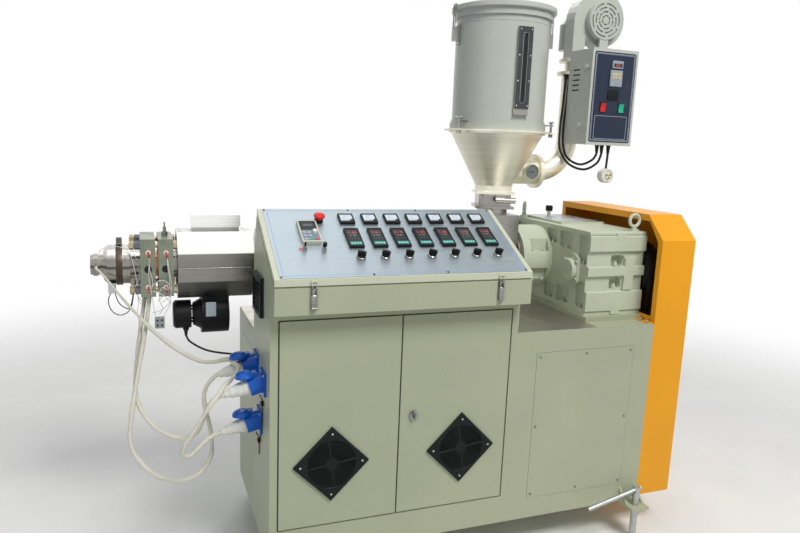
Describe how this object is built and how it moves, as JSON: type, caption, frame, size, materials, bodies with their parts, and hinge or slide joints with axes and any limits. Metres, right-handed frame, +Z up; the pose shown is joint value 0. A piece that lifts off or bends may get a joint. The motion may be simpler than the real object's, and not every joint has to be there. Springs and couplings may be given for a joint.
{
  "type": "plastic extruder",
  "caption": "Single-screw plastic extruder on a steel base with a control cabinet, die, gearbox, belt guard and hopper dryer.",
  "frame": {"origin": "on the floor, at the centre of the machine's footprint", "axes": "+X along the machine from the die to the belt guard, -Y out of the doors, +Z up"},
  "size_m": [2.082, 0.8238, 2.075],
  "materials": {
    "green_paint": "satin light green-grey",
    "cast_green": "satin paint on rough casting",
    "cream_paint": "satin cream",
    "white_paint": "gloss white",
    "orange_paint": "satin orange-yellow",
    "black_paint": "satin black",
    "cast_black": "dark casting",
    "stainless_sheet": "brushed",
    "machined_steel": "turned",
    "zinc_steel": "greenish zinc",
    "galvanised_steel": "dull zinc",
    "bright_metal": "polished",
    "aluminium_plate": "fine matt",
    "black_plastic": "matt black",
    "red_plastic": "gloss red",
    "blue_plastic": "gloss blue",
    "white_plastic": "gloss white",
    "cream_sleeve": "woven sleeve",
    "black_rubber": "matt black"
  },
  "bodies": {
    "machine": {"base_frame": "green_paint", "base_panels": "green_paint", "base_top_sheet": "stainless_sheet", "jack_screws": "galvanised_steel", "cabinet_shell": "green_paint", "side_vent": "black_plastic", "console_latches": "bright_metal", "heater_sockets": "blue_plastic", "barrel": "machined_steel", "barrel_hood": "stainless_sheet", "hood_vent": "stainless_sheet", "cooling_blower": "black_paint", "barrel_support": "green_paint", "die_clamp_plates": "zinc_steel", "die_bolts": "machined_steel", "die_head": "machined_steel", "feed_throat": "cast_green", "bell_housing": "cast_green", "gearbox_housing": "cast_green", "gearbox_fittings": "cast_green", "belt_guard": "orange_paint", "drive_pulleys": "cast_black", "drive_belts": "black_rubber", "hopper_neck": "machined_steel", "hopper_cone": "stainless_sheet", "hopper_cylinder": "white_paint", "hopper_lid": "white_paint", "sight_glass": "stainless_sheet", "hopper_clamps": "bright_metal", "air_duct": "stainless_sheet", "dryer_blower": "white_paint", "dryer_box": "white_paint", "heater_plugs": "white_plastic", "heater_cable_a": "cream_sleeve", "heater_cable_b": "cream_sleeve", "heater_cable_c": "cream_sleeve", "dryer_lead_outer": "black_rubber", "dryer_lead_inner": "black_rubber", "dryer_plug_lead": "black_rubber", "dryer_plug": "white_plastic", "blower_lead": "black_rubber"},
    "left_door": {"door_left": "green_paint", "fan_guard_left": "black_plastic"},
    "right_door": {"door_right": "green_paint", "fan_guard_right": "black_plastic", "door_lock": "bright_metal"},
    "lid": {"console_lid": "cream_paint", "panel_plate": "aluminium_plate", "panel_meters": "black_plastic", "temperature_controllers": "black_plastic", "selector_switches": "black_plastic", "panel_controls": "red_plastic"},
    "gate": {"slide_gate": "machined_steel"},
    "dryer_door": {"dryer_box_door": "white_paint"}
  },
  "joints": [
    {"name": "door_left_hinge", "type": "hinge", "parent": "machine", "child": "left_door", "pos_m": [-0.505, -0.325, 0.573], "axis": [0, 0, -1], "range_deg": [0, 110]},
    {"name": "door_right_hinge", "type": "hinge", "parent": "machine", "child": "right_door", "pos_m": [0.282, -0.325, 0.573], "axis": [0, 0, 1], "range_deg": [0, 110]},
    {"name": "console_lid_hinge", "type": "hinge", "parent": "machine", "child": "lid", "pos_m": [-0.1115, -0.07498, 1.20592], "axis": [-1, 0, 0], "range_deg": [0, 75]},
    {"name": "slide_gate_slide", "type": "slide", "parent": "machine", "child": "gate", "axis": [-0.342, -0.9397, 0], "range_m": [0, 0.105]},
    {"name": "dryer_door_hinge", "type": "hinge", "parent": "machine", "child": "dryer_door", "pos_m": [0.9185, -0.042, 1.6526], "axis": [0, 0, 1], "range_deg": [0, 100]}
  ]
}
